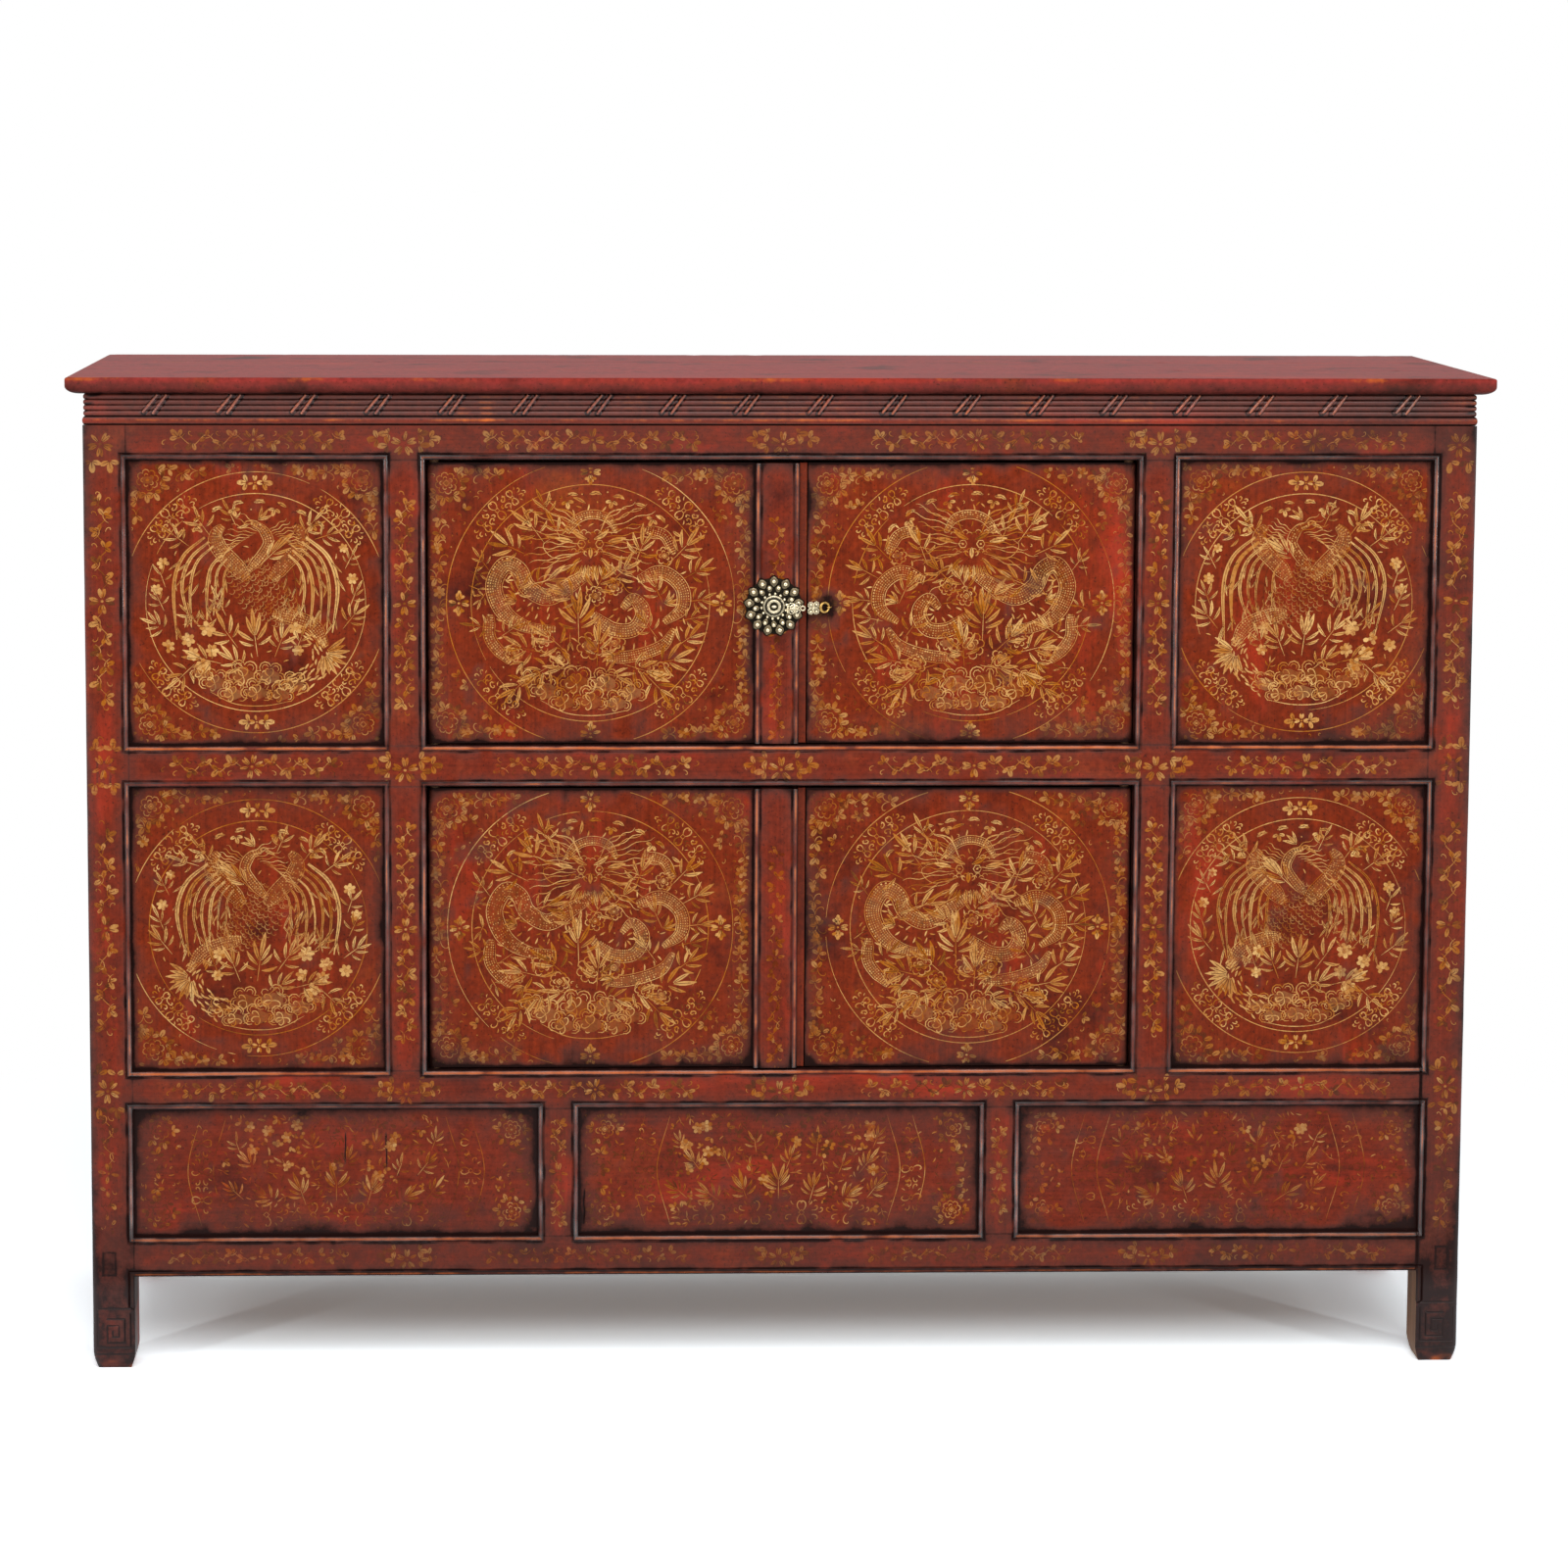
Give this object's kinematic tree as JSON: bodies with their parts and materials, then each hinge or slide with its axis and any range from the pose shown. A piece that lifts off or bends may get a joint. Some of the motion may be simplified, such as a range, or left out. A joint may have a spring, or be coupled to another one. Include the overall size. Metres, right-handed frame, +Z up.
{
  "type": "altar cabinet",
  "caption": "Lacquered wooden altar cabinet on short legs: a framed front with two rows of hinged doors between fixed painted panels, a planked top and a rosette lock with a chain hasp.",
  "frame": {"origin": "on the floor, under the middle of the top", "axes": "+X to the viewer's right along the front, +Y from the front to the back, +Z up"},
  "size_m": [1.441, 0.417, 1.022],
  "materials": {
    "red_lacquer": "worn red lacquer over solid wood",
    "painted_panel": "red lacquer with worn gilt painting",
    "bare_wood": "unfinished, dulled by age",
    "old_brass": "old brass with a silvered wear"
  },
  "bodies": {
    "carcase": {"post_front_left": "red_lacquer", "post_front_right": "red_lacquer", "post_rear_left": "red_lacquer", "post_rear_right": "red_lacquer", "rail_front_top": "red_lacquer", "rail_front_middle": "red_lacquer", "rail_front_lower": "red_lacquer", "rail_front_bottom": "red_lacquer", "rail_back_top": "bare_wood", "rail_back_middle": "bare_wood", "rail_back_lower": "bare_wood", "rail_back_bottom": "bare_wood", "rail_left_top": "red_lacquer", "rail_left_middle": "red_lacquer", "rail_left_bottom": "red_lacquer", "rail_right_top": "red_lacquer", "rail_right_middle": "red_lacquer", "rail_right_bottom": "red_lacquer", "stile_upper_left": "red_lacquer", "stile_upper_right": "red_lacquer", "stile_lower_left": "red_lacquer", "stile_lower_right": "red_lacquer", "stile_base_left": "red_lacquer", "stile_base_right": "red_lacquer", "panel_upper_left": "painted_panel", "panel_upper_right": "painted_panel", "panel_lower_left": "painted_panel", "panel_lower_right": "painted_panel", "panel_base_left": "painted_panel", "panel_base_middle": "painted_panel", "panel_base_right": "painted_panel", "side_panel_left_upper": "red_lacquer", "side_panel_left_lower": "red_lacquer", "side_panel_right_upper": "red_lacquer", "side_panel_right_lower": "red_lacquer", "back_panel_upper": "bare_wood", "back_panel_lower": "bare_wood", "back_panel_base": "bare_wood", "shelf_board": "bare_wood", "floor_board": "bare_wood", "bottom_board": "bare_wood", "frieze_front": "red_lacquer", "frieze_back": "red_lacquer", "frieze_left": "red_lacquer", "frieze_right": "red_lacquer", "top_plank_front": "red_lacquer", "top_plank_middle": "red_lacquer", "top_plank_rear": "red_lacquer"},
    "upper_left_door": {"door_upper_left": "painted_panel", "meeting_stile_upper": "red_lacquer", "lock_plate": "old_brass", "lock_boss": "old_brass"},
    "upper_right_door": {"door_upper_right": "painted_panel", "door_staple": "old_brass"},
    "lower_left_door": {"door_lower_left": "painted_panel", "meeting_stile_lower": "red_lacquer"},
    "lower_right_door": {"door_lower_right": "painted_panel"},
    "strap": {"hasp_strap": "old_brass"},
    "link": {"hasp_link": "old_brass"}
  },
  "joints": [
    {"name": "upper_left_hinge", "type": "hinge", "parent": "carcase", "child": "upper_left_door", "pos_m": [-0.353, -0.177, 0.79175], "axis": [0, 0, -1], "range_deg": [0, 90]},
    {"name": "upper_right_hinge", "type": "hinge", "parent": "carcase", "child": "upper_right_door", "pos_m": [0.353, -0.177, 0.79175], "axis": [0, 0, 1], "range_deg": [0, 90]},
    {"name": "lower_left_hinge", "type": "hinge", "parent": "carcase", "child": "lower_left_door", "pos_m": [-0.353, -0.177, 0.45725], "axis": [0, 0, -1], "range_deg": [0, 90]},
    {"name": "lower_right_hinge", "type": "hinge", "parent": "carcase", "child": "lower_right_door", "pos_m": [0.353, -0.177, 0.45725], "axis": [0, 0, 1], "range_deg": [0, 90]},
    {"name": "strap_hinge", "type": "hinge", "parent": "upper_left_door", "child": "strap", "pos_m": [0.0054, -0.1972, 0.788], "axis": [0, 0, -1], "range_deg": [0, 90]},
    {"name": "link_hinge", "type": "hinge", "parent": "upper_right_door", "child": "link", "pos_m": [0.04792, -0.1866, 0.788], "axis": [0, 0, 1], "range_deg": [0, 100]}
  ]
}
